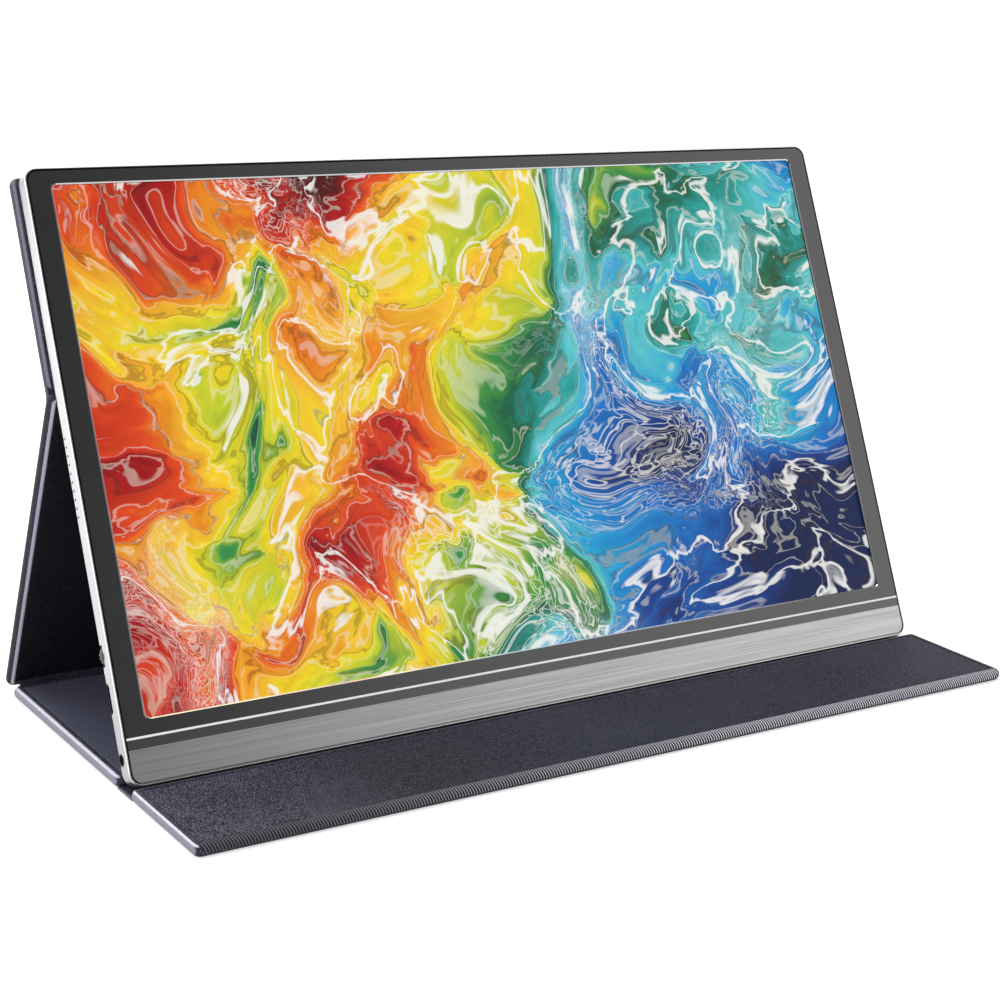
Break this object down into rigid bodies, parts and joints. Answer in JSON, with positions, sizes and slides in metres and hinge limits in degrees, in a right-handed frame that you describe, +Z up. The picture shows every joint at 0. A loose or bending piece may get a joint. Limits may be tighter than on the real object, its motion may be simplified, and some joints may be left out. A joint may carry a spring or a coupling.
{
  "type": "portable monitor with folding cover",
  "caption": "Slim flat display with a brushed chin and side controls, held by magnets in a folding leather cover that props it up as a stand with a leg, a base and a front flap.",
  "frame": {"origin": "middle of the part's box, on the table", "axes": "+Z up, the screen faces -Y, +X to the right as the user sees it"},
  "size_m": [0.3672, 0.1778, 0.2072],
  "materials": {
    "cover_leather": "fine grained slate grey synthetic leather, edges turned over",
    "cover_lining": "matt fine grained lining leather, inset in the turned border",
    "stiff_board": "pressed grey board inside each panel",
    "silver_shell": "bead blasted silver aluminium",
    "charcoal_bezel": "satin charcoal moulding",
    "brushed_chin": "aluminium brushed along its length",
    "polished_trim": "polished bright line",
    "screen_glass": "glossy display glass",
    "clear_sheet": "clear acrylic and diffuser film",
    "sheet_steel": "bright folded sheet steel",
    "circuit_board": "green solder mask",
    "black_plastic": "black moulded plastic",
    "amber_film": "amber film over copper tracks",
    "black_tape": "black adhesive foam tape",
    "dust_mesh": "black woven dust mesh",
    "plated_steel": "nickel plated steel",
    "wheel_plastic": "silver moulded wheel with a notched rim",
    "light_lens": "clear lens over the status lamp",
    "button_metal": "bead blasted silver cap"
  },
  "bodies": {
    "base": {"base_skin": "cover_leather", "base_board": "stiff_board", "base_lining": "cover_lining", "groove_strip": "cover_leather"},
    "flap": {"flap_skin": "cover_leather", "flap_board": "stiff_board", "flap_lining": "cover_lining", "flap_magnets": "plated_steel"},
    "spine": {"spine_strip": "cover_leather"},
    "leg": {"leg_skin": "cover_leather", "leg_board": "stiff_board", "leg_lining": "cover_lining"},
    "back": {"back_skin": "cover_leather", "back_board": "stiff_board", "back_lining": "cover_lining", "back_magnets": "plated_steel"},
    "display": {"rear_shell": "silver_shell", "front_bezel": "charcoal_bezel", "chin_bar": "brushed_chin", "trim_strip": "polished_trim", "panel_tray": "sheet_steel", "lcd_glass": "screen_glass", "optical_films": "clear_sheet", "light_guide": "clear_sheet", "led_strip": "circuit_board", "bezel_tape": "black_tape", "timing_board": "circuit_board", "panel_flex": "amber_film", "main_board": "circuit_board", "side_board": "circuit_board", "shield_can": "sheet_steel", "board_components": "black_plastic", "display_cable": "amber_film", "board_link": "amber_film", "board_screws": "plated_steel", "mini_hdmi_port": "sheet_steel", "usb_c_port_low": "sheet_steel", "usb_c_port_high": "sheet_steel", "audio_jack": "black_plastic", "wheel_switch": "black_plastic", "status_light": "light_lens", "left_speaker": "black_plastic", "right_speaker": "black_plastic", "speaker_meshes": "dust_mesh", "power_switch": "black_plastic", "shell_magnets": "plated_steel"},
    "menu_wheel": {"menu_wheel": "wheel_plastic"},
    "power_button": {"power_button": "button_metal"}
  },
  "joints": [
    {"name": "flap_fold", "type": "hinge", "parent": "base", "child": "flap", "pos_m": [0, -0.03711, 0.0024], "axis": [-1, 0, 0], "range_deg": [0, 110]},
    {"name": "spine_fold", "type": "hinge", "parent": "base", "child": "spine", "pos_m": [0, 0.07791, 0.0024], "axis": [-1, 0, 0], "range_deg": [0, 17]},
    {"name": "leg_fold", "type": "hinge", "parent": "spine", "child": "leg", "pos_m": [0, 0.08651, 0.00503], "axis": [-1, 0, 0], "range_deg": [0, 95.8]},
    {"name": "back_fold", "type": "hinge", "parent": "leg", "child": "back", "pos_m": [0, 0.03498, 0.12764], "axis": [1, 0, 0], "range_deg": [0, 47]},
    {"name": "display_lift", "type": "slide", "parent": "back", "child": "display", "axis": [0, 0.4099, 0.9121], "range_m": [0, 0.23]},
    {"name": "wheel_turn", "type": "hinge", "parent": "display", "child": "menu_wheel", "pos_m": [-0.1782, -0.00863, 0.0444], "axis": [0, -0.9121, 0.4099], "range_deg": [-15, 15], "stiffness_Nm_per_rad": 0.003},
    {"name": "button_press", "type": "slide", "parent": "display", "child": "power_button", "axis": [-1, 0, 0], "range_m": [0, 0.0004], "stiffness_N_per_m": 1000}
  ],
  "couplings": [
    {"joint": "spine_fold", "follows": "leg_fold", "ratio": 0.17745},
    {"joint": "back_fold", "follows": "leg_fold", "ratio": 0.49061}
  ]
}
